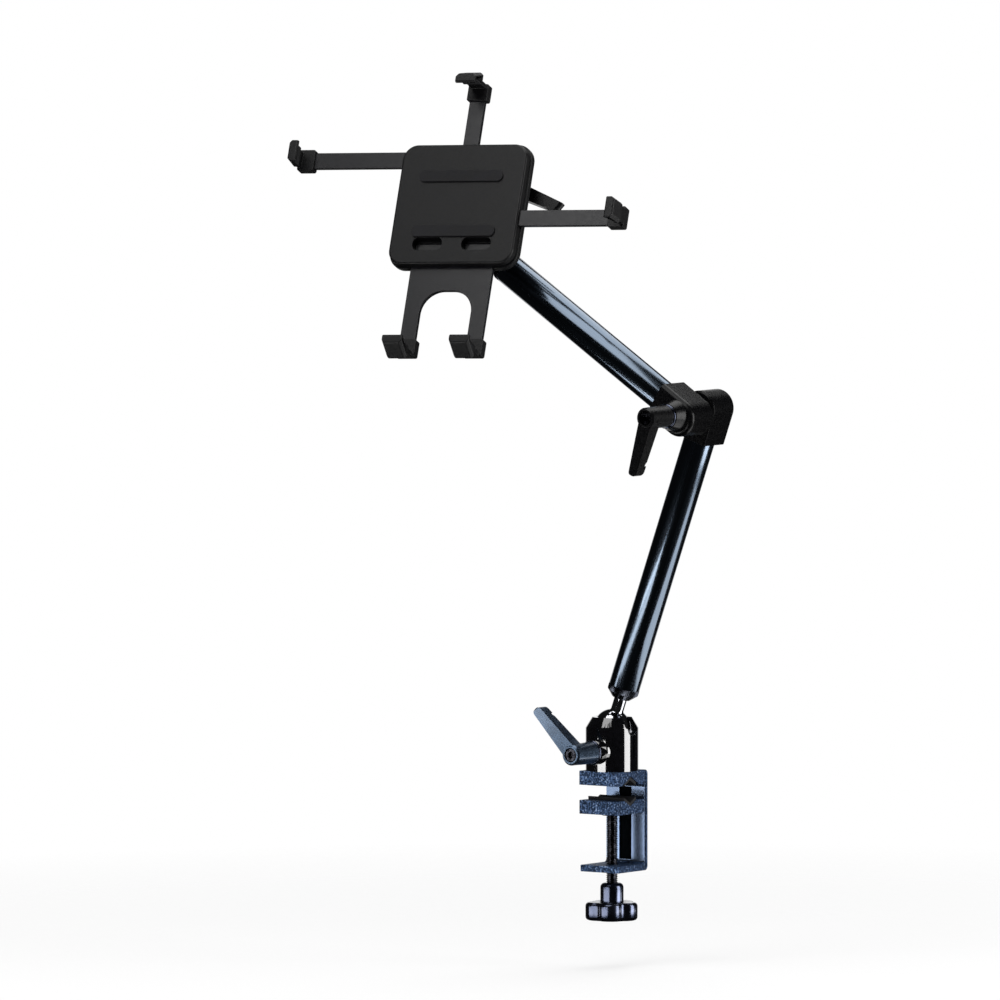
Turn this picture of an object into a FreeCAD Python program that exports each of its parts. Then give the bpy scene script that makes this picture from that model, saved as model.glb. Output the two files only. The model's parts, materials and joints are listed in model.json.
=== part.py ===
import FreeCAD, Part
import os
from math import cos, hypot, radians, sin, tan

V = FreeCAD.Vector
Placement = FreeCAD.Placement
Rotation = FreeCAD.Rotation

# A car seat tablet mount in millimetres and degrees. A screw clamp grips a round rail, and two tubes with a
# ball at each end and a pivot between them carry a cradle of five hooks. The origin is on the rail's axis,
# straight above the clamp screw: X runs along the rail, Y towards the clamp's back plate, Z up.

# Fits between pieces, and how far a cutter stands out of what it cuts
running_fit = 0.05
loose_fit = 0.3
overcut = 1.0

# Rail clamp
rail_radius = 6.75
clamp_width = 31.5
clamp_front = 16.5
shelf_front = 15.0
clamp_back = 20.0
plate_thickness = 4.0
flange_thickness = 9.6
flange_top = 14.0
shelf_top = -50.5
shelf_thickness = 4.5
clamp_inner_round = 2.5
clamp_outer_round = 3.0
groove_angle = 120.0
pad_thickness = 2.1
pad_half_width = 7.0
pad_end_gap = 0.75
guide_width = 10.0
guide_depth = 1.6
lower_jaw_thickness = 9.4
lower_jaw_top = -6.0
screw_radius = 4.0
screw_seat_depth = 5.0
thrust_washer_radius = 7.0
thrust_washer_thickness = 1.4

# Star knob on the clamp screw
knob_radius = 18.4
knob_valley_radius = 15.0
knob_lobes = 5
knob_lobe_angle = 46.0
knob_turn = 11.0
knob_thickness = 12.4
knob_edge = 1.6
knob_hub_radius = 8.0
knob_hub_height = 13.2
knob_hub_round = 3.2
knob_hub_drop = 7.9
knob_cap_radius = 7.0
knob_cap_thickness = 1.5

# Ball head, used at the base and behind the cradle
head_radius = 18.1
head_height = 36.6
head_chamfer_out = 4.6
head_chamfer_down = 7.4
ball_height = 29.5
ball_radius = 12.5
notch_radius = 6.0
slit_width = 1.2
slit_floor = 8.5
boss_reach = 24.0
boss_radius = 8.5
boss_flare = 4.5
boss_edge = 0.8
flare_depth = 8.1
flare_bulge = 1.1
head_bolt_height = 13.6
head_screw_radius = 3.0
head_screw_head_radius = 5.2
head_screw_head_thickness = 3.0
head_screw_engagement = 7.0

# Ball with its stem, and the plug that closes each tube
stem_radius = 4.4
stem_length = 22.0
stem_tenon = 6.0
plug_nose_radius = 6.7
plug_cone_length = 4.4
plug_band_length = 3.8
plug_spigot_length = 12.0

# Arms
tube_radius = 10.75
tube_wall = 1.6
lower_arm_length = 231.7
upper_arm_length = 203.2
arm_offset = 28.0
base_lean = 19.9
elbow_bend = 76.9
head_twist = 115.25
head_lean = 84.9
cradle_turn = 35.76

# Elbow knuckles
knuckle_radius = 12.75
knuckle_crown = 3.0
knuckle_reach = 19.0
knuckle_socket_depth = 11.0
knuckle_inner_edge = 1.2
knuckle_outer_round = 3.6
elbow_washer_thickness = 1.0
elbow_washer_radius = 11.8
elbow_boss_foot_radius = 12.0
elbow_boss_radius = 8.5
elbow_boss_height = 8.0
elbow_thread_depth = 18.0

# Ratchet lever, three alike
stud_radius = 3.0
stud_far_end = 15.0
lever_washer_radius = 8.4
lever_washer_thickness = 2.2
insert_collar_radius = 6.2
insert_collar_height = 1.2
insert_top = 8.0
spline_teeth = 12
spline_tip_radius = 5.0
spline_root_radius = 4.3
spline_root_share = 0.42
spline_tip_share = 0.16
spline_clearance = 0.12
hub_base_radius = 7.6
hub_top_radius = 7.2
hub_height = 22.5
hub_round = 1.2
hub_web_thickness = 2.0
hub_bore_radius = 4.9
cap_screw_shank_radius = 2.0
cap_screw_head_radius = 4.5
cap_screw_head_height = 3.5
cap_screw_recess = 0.6
lever_length = 39.5
lever_rise = 8.0
lever_root_width = 11.0
lever_tip_width = 7.0
lever_root_thickness = 11.6
lever_tip_thickness = 7.6
lever_top_edge = 1.0
lever_notch_width = 3.0
lever_notch_depth = 1.4
lever_thumb_length = 10.0
base_lever_turn = 127.5
elbow_lever_turn = -98.0
head_lever_turn = 8.0

# Cradle for a flat tablet
tablet_width = 242.8
tablet_height = 189.7
tablet_thickness = 13.4
tablet_rise = 3.3
housing_half_width = 48.0
housing_top = 58.0
housing_bottom = 32.0
housing_corner = 12.0
back_shell_thickness = 6.0
front_shell_thickness = 6.0
front_shell_margin = 1.5
bar_width = 11.4
bar_thickness = 3.2
bar_clearance = 0.15
bar_engagement = 33.0
bar_travel_in = 15.0
bar_end_round = 4.0
left_bar_height = 43.0
window_width = 22.0
window_height = 9.0
window_corner = 4.0
window_inset = 7.3
pad_strip_length = 62.0
pad_strip_width = 8.0
pad_strip_thickness = 1.5
pad_strip_corner = 3.6
pad_strip_height = 20.0
foot_spread = 25.0
foot_bar_width = 11.4
foot_tongue_length = 18.0
foot_neck_drop = 16.0
foot_crotch_round = 16.0
side_hook_reach = 5.0
top_hook_reach = 8.4
lower_hook_reach = 10.4
hook_width = 15.0
hook_front_reach = 3.6
hook_wall_depth = 9.6
hook_corner = 2.0
hook_neck_width = 11.0
hook_neck_thickness = 3.2
hook_back = 8.0
hook_lip = 3.0
hook_lip_thickness = 2.5
hook_pad_thickness = 1.0
hook_pad_margin = 1.0
hook_depth_gap = 0.5
hook_heel = 1.8
hook_edge = 0.8

# Worked out from the sizes above
knob_top = shelf_top - shelf_thickness - knob_hub_drop
stem_end = stem_length + stem_tenon
plug_length = plug_cone_length + plug_band_length
ball_seat_radius = ball_radius + running_fit
lever_engaged = lever_washer_thickness + insert_collar_height
tablet_back = back_shell_thickness + front_shell_thickness + pad_strip_thickness
head_screw_seat = back_shell_thickness - head_screw_head_thickness - loose_fit
hook_wall_low = tablet_thickness - hook_wall_depth
clamp_wall = clamp_back - plate_thickness
flange_bottom = flange_top - flange_thickness
shelf_bottom = shelf_top - shelf_thickness
knuckle_width = arm_offset - elbow_washer_thickness - running_fit
elbow_boss_reach = arm_offset + knuckle_width / 2 + elbow_boss_height


def box(x0, x1, y0, y1, z0, z1):
    return Part.makeBox(x1 - x0, y1 - y0, z1 - z0, V(x0, y0, z0))


def cylinder(radius, start, end):
    return Part.makeCylinder(radius, (end - start).Length, start, end - start)


def z_cylinder(radius, low, high):
    return cylinder(radius, V(0, 0, low), V(0, 0, high))


def y_cylinder(radius, start, end):
    return cylinder(radius, V(0, start, 0), V(0, end, 0))


def prism(points, sweep):
    """A closed outline of straight runs, swept along a vector."""
    return Part.Face(Part.makePolygon(points + [points[0]])).extrude(sweep)


def turned(outline):
    """Revolve (radius, height) points about the Z axis."""
    points = [V(r, 0, z) for r, z in outline]
    face = Part.Face(Part.makePolygon(points + [points[0]]))
    return face.revolve(V(0, 0, 0), V(0, 0, 1), 360)


def rounded_plate(x0, x1, y0, y1, z0, z1, radius):
    """A plate whose four upright corners are arcs."""
    plate = box(x0, x1, y0, y1, z0, z1)
    upright = [e for e in plate.Edges if abs(e.tangentAt(e.FirstParameter).z) > 0.99]
    return plate.makeFillet(radius, upright)


def edges_along_x(shape, places):
    """The edges parallel to X that pass through any of the (y, z) places."""
    found = []
    for edge in shape.Edges:
        middle = edge.valueAt((edge.FirstParameter + edge.LastParameter) / 2)
        if abs(edge.tangentAt(edge.FirstParameter).x) < 0.99:
            continue
        if any(hypot(middle.y - y, middle.z - z) < 0.01 for y, z in places):
            found.append(edge)
    return found


def moved(shape, *placements):
    """Carry a shape from its own frame out through the placements, the outermost first."""
    total = Placement()
    for placement in placements:
        total = total * placement
    copy = shape.copy()
    copy.Placement = total * copy.Placement
    return copy


def shift(x, y, z):
    return Placement(V(x, y, z), Rotation())


def turn(axis, angle):
    return Placement(V(0, 0, 0), Rotation(axis, angle))


X_AXIS = V(1, 0, 0)
Y_AXIS = V(0, 1, 0)
Z_AXIS = V(0, 0, 1)

# Frames of the assembly, each with its Z axis along its own piece
base_head_frame = shift(0, 0, flange_top + running_fit)
base_ball_frame = base_head_frame * shift(0, 0, ball_height)
lower_arm_frame = base_ball_frame * turn(Y_AXIS, base_lean)
elbow_frame = lower_arm_frame * shift(0, 0, lower_arm_length)
upper_arm_frame = elbow_frame * shift(0, -arm_offset, 0) * turn(Y_AXIS, -elbow_bend)
head_ball_frame = upper_arm_frame * shift(0, 0, upper_arm_length)
head_stem_frame = head_ball_frame * turn(Y_AXIS, 180)
head_axis_frame = head_stem_frame * turn(Z_AXIS, -head_twist) * turn(Y_AXIS, -head_lean)
head_frame = head_axis_frame * shift(0, 0, -ball_height)
cradle_frame = head_frame * shift(0, 0, -running_fit) * turn(X_AXIS, 180) * turn(Z_AXIS, cradle_turn)


def lever_frame(owner, reach, height, angle):
    """Where a lever stands: on a boss that faces -Y of its owner, Z outwards, X along the arm."""
    return owner * shift(0, -reach - running_fit, height) * turn(X_AXIS, 90) * turn(Z_AXIS, angle)


base_lever_frame = lever_frame(base_head_frame, boss_reach, head_bolt_height, base_lever_turn)
elbow_lever_frame = lever_frame(elbow_frame, elbow_boss_reach, 0, elbow_lever_turn + base_lean)
head_lever_frame = lever_frame(head_frame, boss_reach, head_bolt_height, head_lever_turn)


# Rail clamp

def groove_height(across, depth):
    """Height of a V groove's wall above the rail's axis, at a depth outside the rail's own surface."""
    half = radians(groove_angle / 2)
    return (rail_radius + depth) / sin(half) - abs(across) / tan(half)


def groove_mouth(height):
    """Half the width of the metal groove at this height above the rail's axis."""
    return (groove_height(0, pad_thickness) - height) * tan(radians(groove_angle / 2))


def clamp_frame():
    """The C frame: a flange with the upper rail groove, a back plate and a threaded shelf."""
    left = -clamp_width / 2
    mouth = groove_mouth(flange_bottom)
    outline = [
        V(left, clamp_back, flange_top),
        V(left, -clamp_front, flange_top),
        V(left, -clamp_front, flange_bottom),
        V(left, -mouth, flange_bottom),
        V(left, 0, groove_height(0, pad_thickness)),
        V(left, mouth, flange_bottom),
        V(left, clamp_wall, flange_bottom),
        V(left, clamp_wall, shelf_top),
        V(left, -shelf_front, shelf_top),
        V(left, -shelf_front, shelf_bottom),
        V(left, clamp_back, shelf_bottom),
    ]
    frame = prism(outline, V(clamp_width, 0, 0))
    inner = edges_along_x(frame, [(clamp_wall, flange_bottom), (clamp_wall, shelf_top)])
    frame = frame.makeFillet(clamp_inner_round, inner)
    outer = edges_along_x(frame, [(clamp_back, flange_top), (clamp_back, shelf_bottom)])
    frame = frame.makeFillet(clamp_outer_round, outer)
    guide = box(-guide_width / 2, guide_width / 2, clamp_wall - overcut, clamp_wall + guide_depth,
                shelf_top + clamp_inner_round, flange_bottom - clamp_inner_round)
    thread = z_cylinder(screw_radius + running_fit, shelf_bottom - overcut, shelf_top + overcut)
    sunk = z_cylinder(head_screw_head_radius + loose_fit, 0, groove_height(0, pad_thickness))
    hole = z_cylinder(head_screw_radius + loose_fit, 0, flange_top + overcut)
    return frame.cut([guide, thread, sunk, hole])


def jaw_pad(face):
    """A rubber strip bonded into a V groove. face is 1 for the upper jaw and -1 for the lower."""
    left = -clamp_width / 2 + pad_end_gap
    places = [-pad_half_width, 0, pad_half_width]
    metal_side = [V(left, y, face * groove_height(y, pad_thickness)) for y in places]
    rail_side = [V(left, y, face * groove_height(y, 0)) for y in reversed(places)]
    return prism(metal_side + rail_side, V(clamp_width - 2 * pad_end_gap, 0, 0))


def upper_jaw_pad():
    """The upper strip, with a hole round the head of the screw that holds the ball head."""
    return jaw_pad(1).cut(z_cylinder(head_screw_head_radius + loose_fit, 0, flange_top))


def lower_jaw_pad():
    return jaw_pad(-1)


def lower_jaw():
    """The moving jaw: a block with the lower groove, a tongue in the back plate's guide and a screw seat."""
    left = -clamp_width / 2
    bottom = lower_jaw_top - lower_jaw_thickness
    back = clamp_wall - loose_fit
    mouth = groove_mouth(-lower_jaw_top)
    outline = [
        V(left, -clamp_front, lower_jaw_top),
        V(left, -clamp_front, bottom),
        V(left, back, bottom),
        V(left, back, lower_jaw_top),
        V(left, mouth, lower_jaw_top),
        V(left, 0, -groove_height(0, pad_thickness)),
        V(left, -mouth, lower_jaw_top),
    ]
    jaw = prism(outline, V(clamp_width, 0, 0))
    half_tongue = guide_width / 2 - loose_fit
    tongue = box(-half_tongue, half_tongue, back - overcut, clamp_wall + guide_depth - loose_fit, bottom,
                 lower_jaw_top)
    seat = z_cylinder(screw_radius + running_fit, bottom - overcut, bottom + screw_seat_depth)
    return jaw.fuse(tongue).removeSplitter().cut(seat)


def clamp_screw():
    """The long screw from its seat in the moving jaw down into the knob's hub."""
    tip = lower_jaw_top - lower_jaw_thickness + screw_seat_depth - loose_fit
    chamfer = screw_radius / 4
    return turned([
        (0, knob_top - knob_hub_height),
        (screw_radius, knob_top - knob_hub_height),
        (screw_radius, tip - chamfer),
        (screw_radius - chamfer, tip),
        (0, tip),
    ])


def thrust_washer():
    """The collar on the screw that the moving jaw stands on."""
    top = lower_jaw_top - lower_jaw_thickness - running_fit
    ring = z_cylinder(thrust_washer_radius, top - thrust_washer_thickness, top)
    return ring.cut(z_cylinder(screw_radius, top - 2 * thrust_washer_thickness, top + overcut))


def knob_outline(height):
    """The star's outline: a lobe and a valley in turn, each an arc through three points."""
    step = 360 / knob_lobes
    half = knob_lobe_angle / 2
    shoulder = (knob_radius + knob_valley_radius) / 2

    def rim(radius, angle):
        return V(radius * cos(radians(angle)), radius * sin(radians(angle)), height)

    edges = []
    for lobe in range(knob_lobes):
        centre = knob_turn + lobe * step
        lobe_start, lobe_end = rim(shoulder, centre - half), rim(shoulder, centre + half)
        next_start = rim(shoulder, centre + step - half)
        edges.append(Part.Arc(lobe_start, rim(knob_radius, centre), lobe_end).toShape())
        edges.append(Part.Arc(lobe_end, rim(knob_valley_radius, centre + step / 2), next_start).toShape())
    return Part.Face(Part.Wire(edges))


def star_knob():
    """The lobed hand knob with its rounded hub, bored for the screw and recessed for a cap."""
    grip_top = knob_top - knob_hub_height
    grip_bottom = grip_top - knob_thickness
    star = knob_outline(grip_bottom).extrude(V(0, 0, knob_thickness))
    envelope = turned([
        (0, grip_bottom),
        (knob_radius - knob_edge, grip_bottom),
        (knob_radius, grip_bottom + knob_edge),
        (knob_radius, grip_top - knob_edge),
        (knob_radius - knob_edge, grip_top),
        (0, grip_top),
    ])
    hub = z_cylinder(knob_hub_radius, grip_top - overcut, knob_top)
    hub = hub.makeFillet(knob_hub_round, [e for e in hub.Edges if abs(e.BoundBox.ZMin - knob_top) < 0.01])
    knob = star.common(envelope).fuse(hub).removeSplitter()
    bore = z_cylinder(screw_radius, grip_top, knob_top + overcut)
    recess = z_cylinder(knob_cap_radius, grip_bottom - overcut, grip_bottom + knob_cap_thickness)
    return knob.cut([bore, recess])


def knob_cap():
    """The flat plug that closes the knob's underside."""
    bottom = knob_top - knob_hub_height - knob_thickness
    return z_cylinder(knob_cap_radius, bottom, bottom + knob_cap_thickness)


def head_screw(through):
    """The cap screw that a ball head turns with, up through a plate of this thickness under its foot."""
    seat = -through - running_fit
    head = z_cylinder(head_screw_head_radius, seat - head_screw_head_thickness, seat)
    shank_top = head_screw_engagement - loose_fit
    return head.fuse(z_cylinder(head_screw_radius, seat - overcut, shank_top))


# Ball head

def ball_head():
    """The split ball socket: two jaws over one foot, a notch to lay the stem down in, a flared lever boss."""
    body = turned([
        (0, 0),
        (head_radius, 0),
        (head_radius, head_height - head_chamfer_down),
        (head_radius - head_chamfer_out, head_height),
        (0, head_height),
    ])
    flare_end = boss_reach - boss_edge
    flare_start = head_radius + boss_edge - flare_depth
    flare_top = head_radius + boss_edge
    boss_arc = Part.Arc(
        V(boss_radius, 0, flare_top),
        V(boss_radius + flare_bulge, 0, (flare_top + flare_start) / 2),
        V(boss_radius + boss_flare, 0, flare_start),
    ).toShape()
    boss_rest = Part.makePolygon([
        V(boss_radius + boss_flare, 0, flare_start),
        V(0, 0, flare_start),
        V(0, 0, boss_reach),
        V(boss_radius - boss_edge, 0, boss_reach),
        V(boss_radius, 0, flare_end),
        V(boss_radius, 0, flare_top),
    ])
    boss = Part.Face(Part.Wire([boss_arc] + boss_rest.Edges)).revolve(V(0, 0, 0), Z_AXIS, 360)
    boss = moved(boss, shift(0, 0, head_bolt_height), turn(X_AXIS, 90))
    foot_limit = box(-head_radius, head_radius, -2 * head_radius, 0, 0, head_height)
    body = body.fuse(boss.common(foot_limit))
    ball_space = Part.makeSphere(ball_seat_radius, V(0, 0, ball_height))
    notch = cylinder(notch_radius, V(0, 0, ball_height), V(head_radius + overcut, 0, ball_height))
    notch_top = box(0, head_radius + overcut, -notch_radius, notch_radius, ball_height, head_height + overcut)
    slit = box(-head_radius - overcut, head_radius + overcut, -slit_width / 2, slit_width / 2, slit_floor,
               head_height + overcut)
    near_hole = cylinder(stud_radius + loose_fit, V(0, 0, head_bolt_height),
                         V(0, -boss_reach - overcut, head_bolt_height))
    far_hole = cylinder(stud_radius + running_fit, V(0, 0, head_bolt_height),
                        V(0, stud_far_end, head_bolt_height))
    screw_hole = z_cylinder(head_screw_radius + running_fit, -overcut, head_screw_engagement)
    return body.cut([ball_space, notch, notch_top, slit, near_hole, far_hole, screw_hole])


def ball_stem():
    """A polished ball on a round stem that ends in a tenon inside the tube's plug."""
    ball = Part.makeSphere(ball_radius)
    return ball.fuse(z_cylinder(stem_radius, ball_radius / 2, stem_end))


# Arms

def end_plug():
    """The turned plug in a tube's end: a nose cone, a band as wide as the tube, and a spigot inside it."""
    start = stem_length
    cone_end = start + plug_cone_length
    band_end = start + plug_length
    spigot_radius = tube_radius - tube_wall
    plug = turned([
        (0, start),
        (plug_nose_radius, start),
        (tube_radius, cone_end),
        (tube_radius, band_end),
        (spigot_radius, band_end),
        (spigot_radius, band_end + plug_spigot_length),
        (0, band_end + plug_spigot_length),
    ])
    bore = z_cylinder(stem_radius + running_fit, start - overcut, stem_end + running_fit)
    return plug.cut(bore)


def arm_tube(arm_length):
    """A drawn tube from its plug to the bottom of the knuckle's socket, with the ball at the origin."""
    start = stem_length + plug_length
    end = arm_length - knuckle_reach + knuckle_socket_depth
    outer = z_cylinder(tube_radius, start, end)
    return outer.cut(z_cylinder(tube_radius - tube_wall, start - overcut, end + overcut))


def knuckle_socket():
    """The space for the tube's end below the pivot."""
    return z_cylinder(tube_radius, -knuckle_reach - overcut, knuckle_socket_depth - knuckle_reach)


def knuckle(outer):
    """Half of the elbow, before its holes: an arched block round the pivot, which runs along Y.
    Its outer face, on the +Y side for 1 and the -Y side for -1, has a broadly rounded rim."""
    half = knuckle_width / 2
    arch = Part.Arc(
        V(-knuckle_radius, half, knuckle_crown),
        V(0, half, knuckle_crown + knuckle_radius),
        V(knuckle_radius, half, knuckle_crown),
    ).toShape()
    base = Part.makePolygon([
        V(knuckle_radius, half, knuckle_crown),
        V(knuckle_radius, half, -knuckle_reach),
        V(-knuckle_radius, half, -knuckle_reach),
        V(-knuckle_radius, half, knuckle_crown),
    ])
    block = Part.Face(Part.Wire([arch] + base.Edges)).extrude(V(0, -knuckle_width, 0))

    def rim(face):
        on_face = [e for e in block.Edges if abs(e.CenterOfMass.y - face * half) < running_fit]
        return [e for e in on_face if e.BoundBox.ZMax > -knuckle_reach + running_fit]

    block = block.makeFillet(knuckle_outer_round, rim(outer))
    return block.makeChamfer(knuckle_inner_edge, rim(-outer))


def lower_knuckle():
    """The knuckle on the lower tube, threaded for the elbow stud."""
    start = -knuckle_width / 2
    thread = y_cylinder(stud_radius + running_fit, start - overcut, start + elbow_thread_depth)
    return knuckle(1).cut([knuckle_socket(), thread])


def upper_knuckle():
    """The knuckle on the upper tube, with a tapered boss that the elbow lever stands on."""
    face = -knuckle_width / 2
    boss = turned([
        (0, -knuckle_outer_round),
        (elbow_boss_foot_radius, -knuckle_outer_round),
        (elbow_boss_radius, elbow_boss_height),
        (0, elbow_boss_height),
    ])
    block = knuckle(-1).fuse(moved(boss, shift(0, face, 0), turn(X_AXIS, 90)))
    hole = y_cylinder(stud_radius + running_fit, face - elbow_boss_height - overcut, -face + overcut)
    return block.cut([knuckle_socket(), hole])


def elbow_washer():
    """The friction disc between the two knuckles."""
    end = -knuckle_width / 2
    start = end - elbow_washer_thickness
    disc = y_cylinder(elbow_washer_radius, start, end)
    return disc.cut(y_cylinder(stud_radius + running_fit, start - overcut, end + overcut))


# Ratchet lever

def spline(root, tip, bottom, top):
    """A toothed post along Z."""
    points = []
    corners = (
        (-spline_root_share, root),
        (-spline_tip_share, tip),
        (spline_tip_share, tip),
        (spline_root_share, root),
    )
    for tooth in range(spline_teeth):
        for part, radius in corners:
            angle = radians((tooth + part) * 360 / spline_teeth)
            points.append(V(radius * cos(angle), radius * sin(angle), bottom))
    return prism(points, V(0, 0, top - bottom))


def lever_washer():
    """The black washer between the boss and the lever's hub."""
    ring = z_cylinder(lever_washer_radius, 0, lever_washer_thickness)
    ring = ring.makeChamfer(lever_washer_thickness / 4, [e for e in ring.Edges if e.isClosed()])
    return ring.cut(z_cylinder(stud_radius + running_fit, -overcut, lever_washer_thickness + overcut))


def lever_insert(stud_length):
    """The toothed insert: its collar stands on the washer, and its stud runs down through the boss."""
    post = spline(spline_root_radius, spline_tip_radius, lever_engaged, insert_top)
    collar = z_cylinder(insert_collar_radius, lever_washer_thickness, lever_engaged)
    stud = z_cylinder(stud_radius, -stud_length, lever_washer_thickness)
    thread = z_cylinder(cap_screw_shank_radius, insert_top / 2, insert_top + overcut)
    return post.fuse([collar, stud]).removeSplitter().cut(thread)


def lever_arm():
    """The lever's arm: a side profile with a thumb step, met by a plan that narrows to a round tip."""
    hub_top = lever_engaged + hub_height - cap_screw_recess
    tip_high = hub_top + lever_rise
    tip_low = tip_high - lever_tip_thickness
    root_low = hub_top - lever_root_thickness
    notch = lever_length - lever_thumb_length

    def underside(x):
        return root_low + (tip_low - root_low) * x / lever_length

    half = lever_root_width / 2
    side = [
        V(0, -half, root_low),
        V(notch, -half, underside(notch)),
        V(notch + lever_notch_depth, -half, underside(notch) + lever_notch_depth),
        V(notch + lever_notch_width, -half, underside(notch + lever_notch_width) + lever_notch_depth),
        V(notch + lever_notch_width, -half, underside(notch + lever_notch_width) - lever_notch_depth / 2),
        V(lever_length, -half, tip_low - lever_notch_depth / 2),
        V(lever_length, -half, tip_high - lever_top_edge),
        V(lever_length - lever_top_edge, -half, tip_high),
        V(0, -half, hub_top - lever_top_edge),
    ]
    profile = prism(side, V(0, lever_root_width, 0))
    tip = lever_tip_width / 2
    start = V(lever_length - tip, -tip, 0)
    finish = V(lever_length - tip, tip, 0)
    plan = [
        Part.Arc(start, V(lever_length, 0, 0), finish).toShape(),
        Part.LineSegment(finish, V(0, half, 0)).toShape(),
        Part.LineSegment(V(0, half, 0), V(0, -half, 0)).toShape(),
        Part.LineSegment(V(0, -half, 0), start).toShape(),
    ]
    column = Part.Face(Part.Wire(plan)).extrude(V(0, 0, tip_high + overcut))
    return profile.common(column)


def lever_handle():
    """The handle: a tapered hub and its arm, with a toothed cavity below a web and a bore above it."""
    low = lever_washer_thickness + running_fit
    high = lever_engaged + hub_height
    hub = turned([
        (0, low),
        (hub_base_radius, low),
        (hub_top_radius, high - hub_round),
        (hub_top_radius - hub_round, high),
        (0, high),
    ])
    handle = hub.fuse(lever_arm()).removeSplitter()
    collar_space = z_cylinder(insert_collar_radius + spline_clearance, 0, lever_engaged + running_fit)
    teeth = spline(spline_root_radius + spline_clearance, spline_tip_radius + spline_clearance, 0,
                   insert_top + loose_fit)
    web_top = insert_top + loose_fit + hub_web_thickness
    screw_hole = z_cylinder(cap_screw_shank_radius + loose_fit, 0, high)
    bore = z_cylinder(hub_bore_radius, web_top, high + overcut)
    return handle.cut([collar_space, teeth, screw_hole, bore])


def lever_cap_screw():
    """The screw in the hub's end, which keeps the handle on while it is lifted."""
    top = lever_engaged + hub_height - cap_screw_recess
    bottom = top - cap_screw_head_height
    head = z_cylinder(cap_screw_head_radius, bottom, top)
    return head.fuse(z_cylinder(cap_screw_shank_radius, insert_top / 2, bottom + overcut))


# Cradle, with Z towards the tablet and Y up it

def cradle_back():
    """The rear shell, channelled for the upright bar and the foot, with a sunk hole for its head screw."""
    shell = rounded_plate(-housing_half_width, housing_half_width, -housing_bottom, housing_top,
                          0, back_shell_thickness, housing_corner)
    rear = [e for e in shell.Edges if e.BoundBox.ZMax < 0.01]
    shell = shell.makeChamfer(back_shell_thickness / 4, rear)
    half = bar_width / 2 + bar_clearance
    floor = back_shell_thickness - bar_thickness - 2 * bar_clearance
    bar_end = housing_top - bar_engagement - bar_travel_in - bar_clearance
    top_channel = box(-half, half, bar_end, housing_top + overcut, floor, back_shell_thickness + overcut)
    tongue = foot_spread + foot_bar_width / 2 + bar_clearance
    foot_channel = box(-tongue, tongue, -housing_bottom - overcut, foot_tongue_length - housing_bottom,
                       floor, back_shell_thickness + overcut)
    hole = z_cylinder(head_screw_radius + loose_fit, -overcut, back_shell_thickness)
    sunk = z_cylinder(head_screw_head_radius + loose_fit, head_screw_seat, back_shell_thickness + overcut)
    return shell.cut([top_channel, foot_channel, hole, sunk])


def cradle_front():
    """The front shell, channelled behind for the two side bars and pierced by two windows."""
    margin = front_shell_margin
    low = back_shell_thickness
    high = back_shell_thickness + front_shell_thickness
    shell = rounded_plate(margin - housing_half_width, housing_half_width - margin, margin - housing_bottom,
                          housing_top - margin, low, high, housing_corner - margin)
    front = [e for e in shell.Edges if e.BoundBox.ZMin > high - 0.01]
    shell = shell.makeFillet(front_shell_thickness / 4, front)
    half = bar_width / 2 + bar_clearance
    ceiling = low + bar_thickness + 2 * bar_clearance
    edge = housing_half_width + overcut
    inner = housing_half_width - bar_engagement - bar_travel_in - bar_clearance
    cuts = []
    for side, middle in ((-1, left_bar_height + tablet_rise), (1, tablet_rise)):
        x0, x1 = sorted((side * inner, side * edge))
        cuts.append(box(x0, x1, middle - half, middle + half, low - overcut, ceiling))
    for side in (-1, 1):
        x0, x1 = sorted((side * window_inset, side * (window_inset + window_width)))
        y = -housing_bottom / 2
        cuts.append(rounded_plate(x0, x1, y - window_height / 2, y + window_height / 2, low - overcut,
                                  high + overcut, window_corner))
    return shell.cut(cuts)


def pad_strip(side):
    """One rubber strip on the front shell that the tablet's back rests on."""
    low = back_shell_thickness + front_shell_thickness
    y = side * pad_strip_height + (housing_top - housing_bottom) / 2
    return rounded_plate(-pad_strip_length / 2, pad_strip_length / 2, y - pad_strip_width / 2,
                         y + pad_strip_width / 2, low, tablet_back, pad_strip_corner)


def sliding_bar(length):
    """A flat bar along +Y with a rounded inner end. It ends at the origin, under the tablet's edge."""
    half = bar_width / 2
    bar = box(-half, half, -length, 0, 0, bar_thickness)
    inner = [e for e in bar.Edges if abs(e.CenterOfMass.y + length) < 0.01
             and abs(e.tangentAt(e.FirstParameter).z) > 0.99]
    return bar.makeFillet(bar_end_round, inner)


def foot_bracket():
    """The fixed lower fork: a tongue in the rear shell, a waist, and two legs to the lower hooks."""
    low = back_shell_thickness - bar_thickness - bar_clearance
    outer = foot_spread + foot_bar_width / 2
    inner = foot_spread - foot_bar_width / 2
    end = tablet_rise - tablet_height / 2
    top = foot_tongue_length - housing_bottom - bar_clearance
    plate = box(-outer, outer, end, top, low, low + bar_thickness)
    neck = -housing_bottom - foot_neck_drop
    crotch = rounded_plate(-inner, inner, end - inner, neck, low - overcut, back_shell_thickness + overcut,
                           foot_crotch_round)
    return plate.cut(crotch)


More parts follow.
